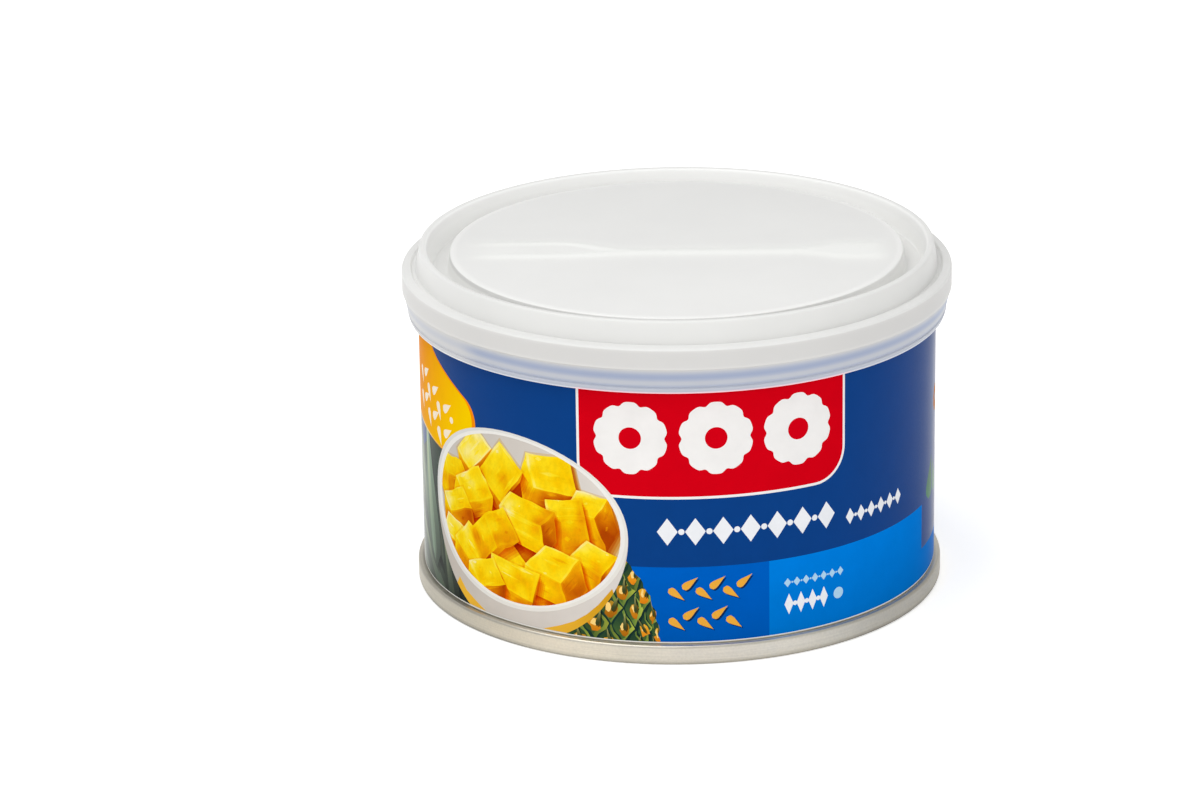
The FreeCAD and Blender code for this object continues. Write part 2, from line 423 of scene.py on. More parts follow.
# where round the front, in degrees, the seam takes painted shade for the shaded floor it mirrors, and how
# softly that ends
SIDE_TURNS = (54.0, 66.0, 34.0)
# light from the right fills the shade in the ledge and at the disc's wall between these places on X
SIDE_LIGHT = (22.0, 34.0)


def end_outline(steel):
    """The stamped end and its double seam: from the middle of the open side round to the content side."""
    soft, edge, tin = PRESSED, steel.rounding, TIN_THICKNESS
    chuck = seam_radius - SEAM_WIDTH
    sink = seam_height + SINK_PAST_SEAM
    sink_out = chuck - CHUCK_LEAN
    sink_in = sink_out - SINK_WIDTH
    panel = sink - PANEL_RISE
    bead_out = sink_in - BEAD_MARGIN
    bead_in = bead_out - BEAD_WIDTH
    body = chuck - CHUCK_LEAN * seam_height / sink + tin
    top = BEAD_RISE
    bead = [(bead_in - BEAD_SLOPE, 0), (bead_in, top), (bead_out - BEAD_SLOPE, top), (bead_out, 0)]
    return rounded([
        (0, panel, 0), *((x, panel + rise, soft) for x, rise in bead),
        (sink_in, panel, soft), (sink_in, sink, soft), (sink_out, sink, soft),
        (chuck, 0, edge), (seam_radius, 0, edge), (seam_radius, seam_height, edge), (body, seam_height, 0),
        (sink_out + tin, sink + tin, 0), (sink_in - tin, sink + tin, 0), (sink_in - tin, panel + tin, 0),
        *((x, panel + tin + rise, 0) for x, rise in reversed(bead)), (0, panel + tin, 0),
    ])


def end_painted_shade(x, y, z):
    """Painted shade on the bottom end: a painted shadow in its ledge, painted shade at its seam's edges, and
    painted shade towards both sides that stands for the shaded floor the steel mirrors.
    """
    reach, turn = around(x, y)
    on_seam = reach > seam_radius - SEAM_WIDTH
    ledge = (z > seam_height - 0.1) * on_seam * (1.0 - smooth_step(reach, 42.0, 42.35))
    # a painted shadow in the ledge under the wrapper, lighter where light from the right fills it
    painted_shade = (0.42 - 0.25 * smooth_step(x, *SIDE_LIGHT)) * ledge
    # painted reflection of the floor's shadow on the seam's lower rounding
    painted_shade += 0.32 * (1.0 - smooth_step(z, 0.25, 0.8)) * (reach > seam_radius - 0.3)
    # painted shade that dims the highlight on the seam's top
    painted_shade += 0.14 * smooth_step(z, seam_height - 0.6, seam_height - 0.3) * (reach > 42.4)
    # painted shade towards both sides, for the shaded floor that the steel mirrors
    return painted_shade + 0.26 * between(np.abs(turn), *SIDE_TURNS) * on_seam


class TIN_OT_steel(bpy.types.Operator):
    """Turn the bottom end and give the steel that stays its finish"""

    bl_idname = PREFIX + ".steel"
    bl_label = "Steel ends and body"

    def execute(self, context):
        steel = context.scene.tin_steel
        finish = tinplate(steel)
        for name in ("can_body", "top_end"):
            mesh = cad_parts[name].data
            mesh.materials.clear()
            mesh.materials.append(finish)
        points = divided(end_outline(steel), steel.ring_step)
        piece = turned_piece("base_end", points, steel.segments, finish)
        # painted shade on the bottom end, kept as a point attribute for the tinplate
        painted_shade = end_painted_shade(*vertex_places(piece.data).T / MM)
        painted_shade_values = piece.data.attributes.new("painted_shade", "FLOAT", "POINT")
        painted_shade_values.data.foreach_set("value", painted_shade.astype(np.float32))
        placed(piece, "bottom_end")
        return {"FINISHED"}


# --- Lid ---

# sizes in mm: the skirt's wall and the plastic over the tin, then the lip and the groove over it
LID_WALL, LID_SHEET = 1.05, 0.9
LIP_GAP, LIP_HEIGHT, LIP_FLARE = 0.42, 0.75, 0.2
GROOVE_WIDTH, GROOVE_DEPTH = 0.4, 0.22
# the skirt's step, and radii and heights of the plug, the ring, the moat and the disc
STEP_RISE, STEP_WIDTH = 0.3, 0.18
PLUG_RADIUS = 41.1
RING_OUTER, RING_INNER = 41.3, 40.2
MOAT_OUTER, MOAT_INNER, MOAT_FLOOR = 39.4, 36.9, 52.2
DISC_RADIUS, DISC_HEIGHT = 36.4, 55.05
SKIRT_INSIDE, SKIRT_TOP = 43.05, can_height + 0.6
INSIDE_STEP = 2.5
# the crease's colour: stress whitening with a painted highlight
CREASED = (0.975, 0.98, 0.965)
# where the golden tag and the red panel lie round the tin, in degrees
TAG_TURN = (-104.0, -52.0)
PANEL_TURN = (-21.0, 37.5)
# the red panel's light, painted on the lid's lower edge over the panel
RED_PANEL_LIGHT = (0.95, 0.74, 0.78)
SKIRT_BANDS = (
    # height above the lid's edge, and how much of the tint shows there
    (0.0, 0.25), (0.3, 0.6), (0.7, 0.45), (0.95, 0.6), (1.25, 0.85), (1.6, 0.4), (1.9, 0.35), (2.3, 0.75),
    (2.75, 1.0), (3.2, 0.85), (3.6, 0.5), (4.1, 0.0),
)
FAR, CRISP = 99.0, 1e-6
# painted shade in the moat, the groove, the ring and on the shoulder; painted highlights on the disc's lip,
# the skirt's foot and the ring's inner wall
PAINTED_SHADE_AND_HIGHLIGHTS = (
    # change of tone, painted shade where it is below 0 and painted highlight where above, then the radii and
    # the heights that it lies between, each with how softly it ends
    (-0.06, (37.0, MOAT_OUTER, 0.1), (0.0, 52.6, CRISP)),
    (0.05, (DISC_RADIUS - 0.7, DISC_RADIUS - 0.1, 0.15), (DISC_HEIGHT - 0.2, FAR, CRISP)),
    (-0.07, (42.0, 42.6, 0.12), (0.0, 52.9, CRISP)),
    (-0.06, (42.7, FAR, CRISP), (SKIRT_TOP - 0.1, FAR, CRISP)),
    (-0.03, (39.9, 42.2, CRISP), (52.8, FAR, CRISP)),
    (0.07, (43.9, FAR, CRISP), (49.2, 49.5, 0.1)),
    (0.16, (MOAT_OUTER, 40.3, 0.2), (0.0, FAR, CRISP)),
)


def lid_inside():
    """The lid's hidden side, from its middle out and down to its lip."""
    skirt, lip = lid_radius - LID_WALL, wrapper_radius + LIP_GAP
    return (
        (0.0, DISC_HEIGHT - LID_SHEET, 0.0), (DISC_RADIUS - LID_SHEET, DISC_HEIGHT - LID_SHEET, 0.3),
        (MOAT_INNER - LID_SHEET, MOAT_FLOOR - LID_SHEET, 0.3), (PLUG_RADIUS, MOAT_FLOOR - LID_SHEET, 0.0),
        (PLUG_RADIUS, can_height, 0.0), (skirt, can_height, 0.3), (skirt, upper_seam_foot, 0.3),
        (lip, lid_low + LIP_HEIGHT + GROOVE_WIDTH, 0.1), (lip, lid_low, 0.1),
    )


def lid_outside():
    """The lid's open side: lip, skirt, shoulder, ring, moat and disc."""
    lip = wrapper_radius + LIP_GAP + LID_WALL
    flared, groove, step = lip + LIP_FLARE, lid_low + LIP_HEIGHT, upper_seam_foot + STEP_RISE
    return (
        (lip, lid_low, 0.12), (flared, groove, 0.1), (flared - GROOVE_DEPTH, groove + GROOVE_WIDTH / 2, 0.1),
        (flared, groove + GROOVE_WIDTH, 0.1), (lid_radius - STEP_WIDTH, step, 0.1),
        (lid_radius, step + STEP_WIDTH, 0.1), (lid_radius, SKIRT_TOP, 0.45), (42.85, SKIRT_TOP + 0.25, 0.12),
        (42.55, SKIRT_TOP - 0.15, 0.1), (42.00, SKIRT_TOP - 0.15, 0.12),
        (RING_OUTER, lid_high, 0.4), (RING_INNER, lid_high, 0.6),
        (MOAT_OUTER, MOAT_FLOOR, 0.4), (MOAT_INNER, MOAT_FLOOR, 0.4),
        (DISC_RADIUS, DISC_HEIGHT, 0.35), (0.0, DISC_HEIGHT, 0.0),
    )


def crease_shape(lid, x, y, spread=1.0):
    """How high the crease stands, from 0 to 1: a fold, split in two at the left, flared at the right."""
    across = y + lid.crease_offset
    left, right = smooth_step(-x, 6.0, 19.0), smooth_step(x, 19.0, 28.0)
    split, width = 3.1 * left, (1.3 - 0.3 * left) * spread
    across_left = across - 1.7 * left
    behind = np.exp(-(((across_left - split) / width) ** 2))
    before = np.exp(-(((across_left + split) / width) ** 2))
    hollow = 0.5 * left * between(across_left, -split, split, 0.6)
    folded = np.maximum(np.maximum(behind, before), hollow)
    flared = np.exp(-((np.maximum(np.abs(across) - 2.7 * right, 0.0) / (1.3 * spread)) ** 2))
    ends = 1.0 - np.maximum(smooth_step(-x, 28.0, 35.0), smooth_step(x, 31.0, 35.5))
    return np.where(x < 0, folded, flared) * ends


def milk_and_painted_light_colours(lid, x, y, z, creased):
    """The plastic's colour at each point: bluish over the print, dimmer on the skirt, with painted shade and
    highlights, and whiter at the crease.
    """
    reach, turn = around(x, y)
    plain, skirt, tint = linear(lid.colour), linear(lid.skirt), linear(lid.tint)
    thin = (reach > SKIRT_INSIDE) * (1.0 - smooth_step(z, SKIRT_TOP - 0.5, SKIRT_TOP - 0.1))
    colours = plain + (skirt - plain) * thin[:, None]
    over_tag = between(turn, *TAG_TURN, 8.0)
    shown = thin * np.interp(z - lid_low, *zip(*SKIRT_BANDS)) * (1.0 - 0.6 * over_tag)
    colours += (tint - colours) * shown[:, None]
    tone = np.ones(len(z))
    for change, radii, heights in PAINTED_SHADE_AND_HIGHLIGHTS:
        tone += change * between(reach, *radii) * between(z, *heights)
    # painted shade on the disc's outer wall in the moat, lighter where light from the right fills it
    wall = between(reach, DISC_RADIUS - 0.05, DISC_RADIUS + 0.5, 0.08) * between(z, 54.2, 54.8, 0.1)
    tone -= 0.17 * wall * (1.0 - 0.8 * smooth_step(x, *SIDE_LIGHT))
    # painted light: the disc lighter towards the front and darker towards the back
    tone += (reach < DISC_RADIUS) * (0.027 - 0.062 * y / DISC_RADIUS)
    # painted light on the ring, shoulder and skirt at the left
    tone += 0.06 * (reach > 39.0) * smooth_step(-x, 28.0, 42.0)
    # painted highlight along the skirt's lower edge
    edge = thin * (1.0 - smooth_step(z, lid_low + 0.15, lid_low + 0.4))
    tone += 0.34 * edge
    # the red panel's light painted on that edge
    over_panel = 0.6 * edge * between(turn, *PANEL_TURN, 1.0)
    colours += (linear(RED_PANEL_LIGHT) - colours) * over_panel[:, None]
    colours *= tone[:, None]
    return colours + (linear(CREASED) - colours) * creased[:, None]


def disc_fade(x, y):
    """1 over the disc, falling to 0 before its rounded edge."""
    return 1.0 - smooth_step(np.hypot(x, y), DISC_RADIUS - 2.2, DISC_RADIUS - 0.8)


class TIN_OT_lid(bpy.types.Operator):
    """Turn the snap-on lid and press the crease into its disc"""

    bl_idname = PREFIX + ".lid"
    bl_label = "Snap-on lid"

    def execute(self, context):
        lid = context.scene.tin_lid
        inner = lid_inside()
        outline = rounded([*inner, *lid_outside()])
        turn = sum(ARC_STEPS + 1 if corner[2] else 1 for corner in inner)
        points = divided(outline[:turn], INSIDE_STEP) + divided(outline[turn:], lid.ring_step)
        piece = turned_piece("snap_lid", points, context.scene.tin_steel.segments, milky_plastic())
        mesh = piece.data
        places = vertex_places(mesh)
        x, y, z = places.T / MM
        on_disc = (z > DISC_HEIGHT - 0.05) & (np.hypot(x, y) < DISC_RADIUS)
        raised = np.where(on_disc, crease_shape(lid, x, y) * disc_fade(x, y), 0.0)
        places[:, 2] += raised * lid.crease_height * MM
        mesh.vertices.foreach_set("co", places.ravel())
        milk_and_painted_light = np.ones((len(z), 4), np.float32)
        # whiter along the crease: stress whitening with a painted highlight
        whitening_and_highlight = np.where(on_disc, crease_shape(lid, x, y, 2.0) * disc_fade(x, y), 0.0)
        milk_and_painted_light[:, :3] = milk_and_painted_light_colours(lid, x, y, z, 0.9 * whitening_and_highlight)
        mesh.color_attributes.new("milk_and_painted_light", "FLOAT_COLOR", "POINT").data.foreach_set("color", milk_and_painted_light.ravel())
        mesh.update()
        placed(piece, "lid")
        return {"FINISHED"}


# --- Print ---
# The wrapper is drawn flat, in millimetres: u runs round it from the front to the right, z is the height.


WAVER_SEED = 11


class Print:
    """Shapes laid over one another on the flat wrapper; the last one laid is on top."""

    def __init__(self):
        self.shapes = []
        self.grains = []

    def lay(self, outline, paint, flesh=0.0, clips=()):
        """An opaque shape. paint is a colour, or a function of u and z that gives colours."""
        self.shapes.append(("ink", np.asarray(outline, float), paint, flesh, clips))

    def shade(self, outline, amount, clips=()):
        """A see-through shade: what lies under it is multiplied by amount, a number or a colour."""
        self.shapes.append(("shade", np.asarray(outline, float), amount, None, clips))

    def grain(self, outline, step):
        """Extra mesh points inside an outline, so that soft colour shows there."""
        self.grains.append((np.asarray(outline, float), step))


def inside(points, outline):
    """Which points lie inside a closed outline."""
    found = np.zeros(len(points), bool)
    low, high = outline.min(0), outline.max(0)
    near = np.flatnonzero(((points >= low) & (points <= high)).all(1))
    x, y = points[near].T
    hit = np.zeros(len(near), bool)
    for (x0, y0), (x1, y1) in zip(outline, np.roll(outline, -1, 0)):
        if y0 != y1:
            cross = (y0 > y) != (y1 > y)
            hit ^= cross & (x < (x1 - x0) * (y - y0) / (y1 - y0) + x0)
    found[near] = hit
    return found


def oval(u, z, across, up, start=0.0, end=360.0, steps=72):
    """Points round an oval, or along part of it, from angles in degrees."""
    whole = abs(end - start) >= 360
    turns = np.radians(np.linspace(start, end, steps, endpoint=not whole))
    return np.stack([u + across * np.cos(turns), z + up * np.sin(turns)], 1)


def box_shape(left, low, right, high, low_left=0.0, low_right=0.0, high_right=0.0, high_left=0.0):
    """A box whose corners may be rounded."""
    points = []
    corners = (
        (left, low, low_left, 180, 1, 1), (right, low, low_right, 270, -1, 1),
        (right, high, high_right, 0, -1, -1), (left, high, high_left, 90, 1, -1),
    )
    for u, z, rounding, start, inward, upward in corners:
        if rounding:
            centre = (u + inward * rounding, z + upward * rounding)
            points.append(oval(*centre, rounding, rounding, start, start + 90, 12))
        else:
            points.append(np.array([(u, z)]))
    return np.concatenate(points)


def leaf(u, z, reach, width, angle, bend=0.0, steps=14):
    """A pointed leaf from its foot at u, z, bending as it goes."""
    t = np.linspace(0, 1, steps)
    half = width / 2 * np.sin(np.pi * np.sqrt(t)) * (1 - 0.25 * t)
    middle = np.stack([reach * t, bend * t * t], 1)
    side = np.stack([-2 * bend * t / reach, np.ones(steps)], 1)
    side /= np.linalg.norm(side, axis=1)[:, None]
    shape = np.concatenate([middle + side * half[:, None], (middle - side * half[:, None])[-2:0:-1]])
    turn = math.radians(angle)
    spin = np.array([(math.cos(turn), math.sin(turn)), (-math.sin(turn), math.cos(turn))])
    return shape @ spin + (u, z)


def lozenge(u, z, across, up):
    return np.array([(u - across, z), (u, z - up), (u + across, z), (u, z + up)])


def stretched(outline, factor, shift=(0.0, 0.0)):
    """An outline made larger or smaller about its middle, and moved."""
    middle = outline.mean(0)
    return (outline - middle) * factor + middle + shift


def wavering(outline, amount, pieces=4, pitch=0.55):
    """Straight sides made a little uneven, as cut fruit is. Two shapes that share a side still share it."""
    made = []
    for here, there in zip(outline, np.roll(outline, -1, 0)):
        for k in range(pieces):
            made.append(here + (there - here) * k / pieces)
    offsets = [noise.noise_vector(Vector((u * pitch, z * pitch, 3.7)))[:2] for u, z in made]
    return np.array(made) + np.array(offsets) * amount


def cloud(u, z, pitch, seed=0.0):
    """Soft noise round 0 over the print."""
    return np.array([noise.noise((a * pitch, b * pitch, seed)) for a, b in zip(u.tolist(), z.tolist())])


def along(u, z, start, end):
    """How far each point lies along the line from start to end, from 0 to 1."""
    start = np.array(start, float)
    line = np.array(end, float) - start
    return np.clip(((u - start[0]) * line[0] + (z - start[1]) * line[1]) / (line @ line), 0, 1)


def fade(near, far, start, end):
    """Colour that runs from near at start to far at end."""
    return lambda u, z: near + (far - near) * along(u, z, start, end)[:, None]


FLESH_SHADES = np.array([
    (176, 68, 3), (210, 112, 4), (236, 158, 6), (250, 202, 6), (254, 223, 30), (253, 239, 160),
])


def flesh_colour(light):
    """The fruit's colour from deep shade, 0, to a wet highlight, 1."""
    place = np.clip(light, 0, 1) * (len(FLESH_SHADES) - 1)
    return np.stack([np.interp(place, range(len(FLESH_SHADES)), c) for c in FLESH_SHADES.T], 1) / 255


def fruit_paint(light, pitch=0.42, depth=0.26, seed=0.0, lift=None, fall=0.0):
    """Uneven yellow flesh. lift is a (start, end) pair along which the light falls."""

    def paint(u, z):
        t = light + depth * cloud(u, z, pitch, seed)
        if lift is not None:
            t = t + fall * (0.4 - along(u, z, *lift))
        return flesh_colour(t)

    return paint


# --- The picture ---

# the middle of the bowl's rim, the rim's half sizes and the bowl's depth under it
BOWL = (-28.55, 20.5)
RIM = (20.6, 14.7)
BOWL_DEPTH = 19.5
PIECES = (
    # place, half sizes, turn, tip and lean in degrees: from the back of the heap to the front
    (-36.6, 29.4, 4.3, 2.7, 2.6, 48, 18, -8), (-43.0, 23.2, 3.5, 3.0, 3.2, 20, -14, 10),
    (-21.6, 28.0, 4.3, 3.6, 3.7, 12, 10, 14), (-31.2, 27.0, 4.4, 3.4, 2.9, 52, 22, 12),
    (-13.9, 22.8, 3.4, 3.0, 4.0, -24, -8, -14), (-37.4, 22.8, 4.2, 3.2, 2.8, 36, 6, 8),
    (-41.6, 18.2, 4.2, 3.2, 3.0, 24, -10, -10), (-43.0, 13.6, 3.0, 2.6, 2.6, -16, 8, 0),
    (-17.8, 20.8, 3.5, 3.4, 4.4, 8, -20, -10), (-25.4, 20.6, 4.9, 3.2, 3.0, -22, -16, 4),
    (-13.8, 14.6, 3.4, 3.0, 3.4, -34, -6, 8), (-37.8, 12.0, 4.2, 3.4, 3.2, -34, 8, 6),
    (-30.2, 12.6, 3.6, 3.0, 3.0, 30, 0, 0), (-32.6, 17.2, 3.2, 3.0, 5.2, 34, 26, 22),
    (-22.2, 8.3, 3.6, 3.0, 2.8, 10, 0, -6), (-20.4, 12.5, 4.9, 3.6, 3.4, -38, -12, -12),
    (-28.8, 9.0, 4.8, 3.3, 3.4, -14, 10, 4), (-34.6, 8.4, 3.4, 2.8, 2.6, 28, 0, 6),
)
# towards the light, how far the heap is seen from above, and what one layer of shadow leaves of a colour
SUN = np.array((-0.46, -0.3, 0.84))
VIEW_DOWN = math.radians(46)
CAST = np.array((0.965, 0.835, 0.6))


def seen_flat(points):
    """Points in the heap as they lie on the print: seen from the front and above."""
    u, back, up = points.T
    return np.stack([u, back * math.sin(VIEW_DOWN) + up * math.cos(VIEW_DOWN)], 1)


def fruit_piece(sheet, place, rng, clips):
    """One cut piece: an uneven block, with its shadow on the pieces behind it."""
    u, z, *half = place[:5]
    turn, tip, lean = (math.radians(angle) for angle in place[5:])
    leaned = Matrix.Rotation(tip, 3, "X") @ Matrix.Rotation(lean, 3, "Y")
    spin = np.array(leaned @ Matrix.Rotation(turn, 3, "Z"))
    signs = np.array([(a, b, c) for a in (-1, 1) for b in (-1, 1) for c in (-1, 1)])
    corners = (signs * half * rng.uniform(0.8, 1.08, (8, 3))) @ spin.T
    flat = seen_flat(corners) + (u, z)
    hull = flat[convex_hull_2d([Vector(p) for p in flat])]
    sheet.shade(stretched(hull, 1.07), CAST ** 0.5, clips)
    for number in range(1, 5):
        sheet.shade(hull + np.array((0.28, -0.36)) * number, CAST, clips)
    eye = np.array((0.0, -math.cos(VIEW_DOWN), math.sin(VIEW_DOWN)))
    sun = SUN / np.linalg.norm(SUN)
    seed = rng.uniform(0, 90)
    for axis in range(3):
        for side in (-1, 1):
            normal = side * spin[:, axis]
            if normal @ eye > 0.02:
                ring = flat[[k for k in range(8) if signs[k][axis] == side]][[0, 1, 3, 2]]
                light = 0.19 + 0.66 * max(normal @ sun, 0.0) + rng.uniform(-0.06, 0.06)
                fruit_face(sheet, ring, light, seed, rng, clips)


def fruit_face(sheet, ring, light, seed, rng, clips):
    """One cut face: paler edges, light that falls from its upper left, and the streaks of its fibres."""
    slope = ring @ np.array((-0.45, 1.0))
    lift = ring[slope.argmax()], ring[slope.argmin()]

    def lay(shape, extra, flesh=1.0):
        paint = fruit_paint(light + extra, seed=seed, lift=lift, fall=0.62 - 0.42 * light)
        sheet.lay(shape, paint, flesh, clips)

    lay(wavering(ring, 0.34), 0.07, 0.6)
    lay(wavering(stretched(ring, 0.88), 0.34), 0.0)
    for number in range(5):
        start, end = sorted(rng.uniform(0.08, 0.92, 2))
        across = (number + rng.uniform(0.3, 0.7)) / 5
        width = rng.uniform(0.03, 0.07)
        near, far = ring[0] + (ring[1] - ring[0]) * across, ring[3] + (ring[2] - ring[3]) * across
        side = (ring[1] - ring[0]) * width
        foot, tip = near + (far - near) * start, near + (far - near) * end
        change = rng.uniform(0.06, 0.18) * (-0.6 if number % 2 else 1)
        lay(np.array([foot, (foot + tip) / 2 + side, tip, (foot + tip) / 2 - side]), change)


def lay_pieces(sheet, clips):
    rng = np.random.default_rng(29)
    for place in PIECES:
        fruit_piece(sheet, place, rng, clips)


def lay_bowl(sheet, floor):
    """A white bowl, heaped with cut fruit and cut off by the print's lower edge."""
    body = oval(*BOWL, RIM[0], BOWL_DEPTH, 180, 360)
    sheet.lay(body, fade(rgb(196, 188, 179), rgb(219, 213, 207), (-47, 12), (-12, 12)), clips=[floor])
    gold = fade(rgb(238, 184, 60), rgb(214, 158, 34), (-22, 4), (-12, 9))
    right = [(-22.6, 3.6), (-19.5, 4.7), (-17, 5.8), (-14.8, 7.3), (-12.9, 9.1), (-10.6, 12), (-8, 3.6)]
    left = [(-41.6, 7.4), (-39.6, 5.7), (-37.2, 4.7), (-34.6, 3.6), (-44, 3.6)]
    for patch in (right, left):
        sheet.lay(patch, gold, clips=[body, floor])
    rim = oval(*BOWL, *RIM)
    sheet.lay(rim, fade(rgb(224, 223, 220), rgb(232, 229, 222), (-40, 26), (-16, 16)))
    sheet.lay(oval(BOWL[0] + 0.2, BOWL[1] + 0.1, RIM[0] - 0.7, RIM[1] - 0.5), rgb(240, 238, 233))
    mouth = oval(BOWL[0] + 0.4, BOWL[1] + 0.1, RIM[0] - 1.6, RIM[1] - 0.9)
    sheet.lay(mouth, fade(rgb(204, 197, 189), rgb(224, 217, 209), (-36, 27), (-13, 22)))
    nest = oval(BOWL[0] - 1.5, BOWL[1] - 2.0, RIM[0] - 4.4, RIM[1] - 3.5)
    sheet.lay(nest, fruit_paint(0.2, depth=0.3, pitch=0.3), 0.6)
    sheet.grain(mouth, 0.5)
    lay_pieces(sheet, [mouth])


# the middle and half sizes of the fruit's side, and the width and height of one eye
RIND = (-20.0, 3.0, 16.9, 19.0)
EYE = (4.4, 3.5)


def lay_rind(sheet, floor):
    """The fruit's scaly side, behind the bowl: slanting rows of staggered eyes."""
    rng = np.random.default_rng(5)
    edge = oval(*RIND, 0, 180)
    edge[:, 0] += np.where(edge[:, 0] > RIND[0], 0.22 * np.sin(edge[:, 1] * 2.4), 0.0)
    sheet.lay(edge, fade(rgb(24, 58, 48), rgb(18, 44, 42), (-16, 10), (-5, 6)), clips=[floor])
    sheet.grain(np.array([(-18, 3.4), (-2.5, 3.4), (-2.5, 18), (-18, 18)]), 0.6)
    wide, tall = EYE
    for row in range(6):
        for column in range(7):
            swing = (column + 0.5 * (row % 2) - 2.3 + rng.uniform(-0.06, 0.06)) * wide / RIND[2] * 1.25
            u = RIND[0] + RIND[2] * math.sin(swing)
            z = RIND[1] + 0.6 + row * tall * 0.86 - 1.1 * swing + rng.uniform(-0.2, 0.2)
            if abs(swing) < 1.5:
                across = wide * 0.52 * max(math.cos(swing), 0.42)
                lay_eye(sheet, u, z, across, tall * 0.8, rng, [edge, floor])


def lay_eye(sheet, u, z, across, up, rng, clips):
    """One eye of the rind: a dark scale with a yellow-green rim, a golden cheek and a dry, upright bract."""
    light = rng.uniform(0.8, 1.15)
    rim = wavering(lozenge(u, z, across, up), 0.6, 3, 0.9)
    green = fade(rgb(40, 78, 44) * light, rgb(168, 178, 66) * light, (u - across, z), (u + across, z))
    sheet.lay(rim, green, 0.4, clips)
    scale = wavering(lozenge(u - across * 0.16, z + up * 0.06, across * 0.82, up * 0.86), 0.6, 3, 0.9)
    sheet.lay(scale, fade(rgb(28, 58, 48), rgb(78, 106, 46) * light, (u, z + up), (u, z - up)), 0.4, clips)
    gold = rgb(244, 186, 52) * rng.uniform(0.72, 1.0)
    cheek = wavering(oval(u, z - up * 0.12, across * 0.5, up * 0.46, steps=12), 0.7, 1, 1.1)
    brown = gold * np.array((0.94, 0.7, 0.4))
    sheet.lay(cheek, fade(gold, brown, (u, z + up * 0.4), (u, z - up * 0.6)), 0.4, clips)
    glint = wavering(oval(u - across * 0.14, z + up * 0.02, across * 0.2, up * 0.24, steps=9), 0.4, 1, 1.3)
    sheet.lay(glint, rgb(252, 214, 128), 0.4, clips)
    angle, bend = rng.uniform(70, 115), rng.uniform(-0.3, 0.3)
    bract = leaf(u + across * 0.1, z - up * 0.25, up * 1.1, across * 0.36, angle, bend, 8)
    sheet.shade(bract + (0.25, -0.15), rgb(120, 130, 110), clips)
    sheet.lay(bract, fade(rgb(58, 66, 34), rgb(206, 196, 122), (u, z), (u, z + up)), 0.2, clips)


LEAVES = (
    # foot, length, width, angle, bend and tone, from the back one to the front one
    (-44.0, 3.0, 39.0, 8.0, 170, -5.0, 0.75), (-42.0, 4.0, 40.0, 9.0, 154, -6.0, 0.85),
    (-45.0, 0.0, 36.0, 8.0, 179, -4.0, 0.95), (-44.0, 2.0, 37.0, 8.0, 146, -7.0, 0.7),
    (-46.0, 1.0, 36.0, 8.0, 138, -4.0, 0.8), (-44.0, 2.0, 30.0, 6.5, 118, -3.0, 1.0),
    (-48.0, -1.0, 30.0, 7.5, 158, -5.0, 1.15), (-44.0, -1.0, 33.0, 6.0, 128, 3.0, 0.7),
    (-45.0, 1.0, 25.0, 6.5, 148, -3.0, 1.25), (-42.5, -2.0, 29.0, 5.0, 106, -2.0, 0.9),
    (-51.0, 9.0, 27.0, 7.5, 124, -3.0, 1.5), (-50.5, 6.0, 28.0, 6.5, 104, -3.0, 1.9),
)


def lay_leaves(sheet, floor):
    """The fruit's crown, lying on its side at the left: broad grey-green leaves with pale middles."""
    dark, green, pale = rgb(24, 40, 38), rgb(83, 99, 84), rgb(206, 212, 164)
    back = oval(-42.0, 2.0, 27.0, 27.5, 90, 180, 24)
    field = np.concatenate([back, [(-36.0, 2.0), (-36.0, 27.0)]])
    sheet.lay(field, fade(dark, green * 0.8, (-44, 6), (-62, 24)), clips=[floor])
    for u, z, reach, width, angle, bend, tone in LEAVES:
        for number in range(1, 4):
            cast = leaf(u + 0.35 * number, z - 0.3 * number, reach, width, angle, bend)
            sheet.shade(cast, 0.86, [floor])
        shade = green * tone
        parts = (
            # the blade, its middle and its ridge: shift, share of the length and width, and colours
            (0.0, 0.0, 1.0, 1.0, fade(shade * 0.4, shade, (u, z), (u - 14, z + 18))),
            (-0.6, 0.8, 0.94, 0.4, fade(shade * 0.6, shade * 0.75 + pale * 0.25, (u, z), (u - 12, z + 14))),
            (-1.0, 1.2, 0.9, 0.18, fade(shade * 0.8, pale, (u - 2, z + 6), (u - 10, z + 20))),
        )
        for right, up, longer, wider, paint in parts:
            shape = leaf(u + right, z + up, reach * longer, width * wider, angle, bend)
            sheet.lay(shape, paint, 0.2, [floor])


def lay_tag(sheet):
    """A golden tag that slants in from the upper left, with two rows of small pale leaves."""
    tag = np.concatenate([
        [(-60.0, wrapper_high + 1), (-48.0, 42.4)], oval(-40.6, 34.3, 4.4, 4.4, 62, -72, 16),
        [(-47.0, 27.4), (-60.0, 28.9)], oval(-71.0, 40.0, 8.6, 10.4, 262, 118, 16),
    ])
    sheet.lay(tag, fade(rgb(250, 222, 140), rgb(252, 142, 8), (-56, 31), (-44, 36)))
    face = stretched(tag, 0.972, (-0.3, 0.1))
    sheet.lay(face, fade(rgb(253, 158, 22), rgb(254, 208, 0), (-57, 41), (-40, 33)))
    sheet.grain(tag, 1.0)
    pale = rgb(253, 238, 212)
    for z in (38.4, 34.2):
        for number in range(6):
            u = -57.4 + 2.3 * number
            height = z - 0.36 * (u + 57.4)
            sheet.lay(leaf(u, height, 3.2, 1.5, 30 if number % 2 else -68), pale)
        sheet.lay(oval(u + 2.8, height - 0.9, 0.55, 0.55, steps=16), pale)


# --- Fields and ornaments ---

# the bands: how high they reach, and where the front one ends and the back one starts
BAND_TOP = 16.0
BAND_SPLIT = 14.3
BAND_BACK = -66.0
STRIP_TOP = wrapper_low + 0.16
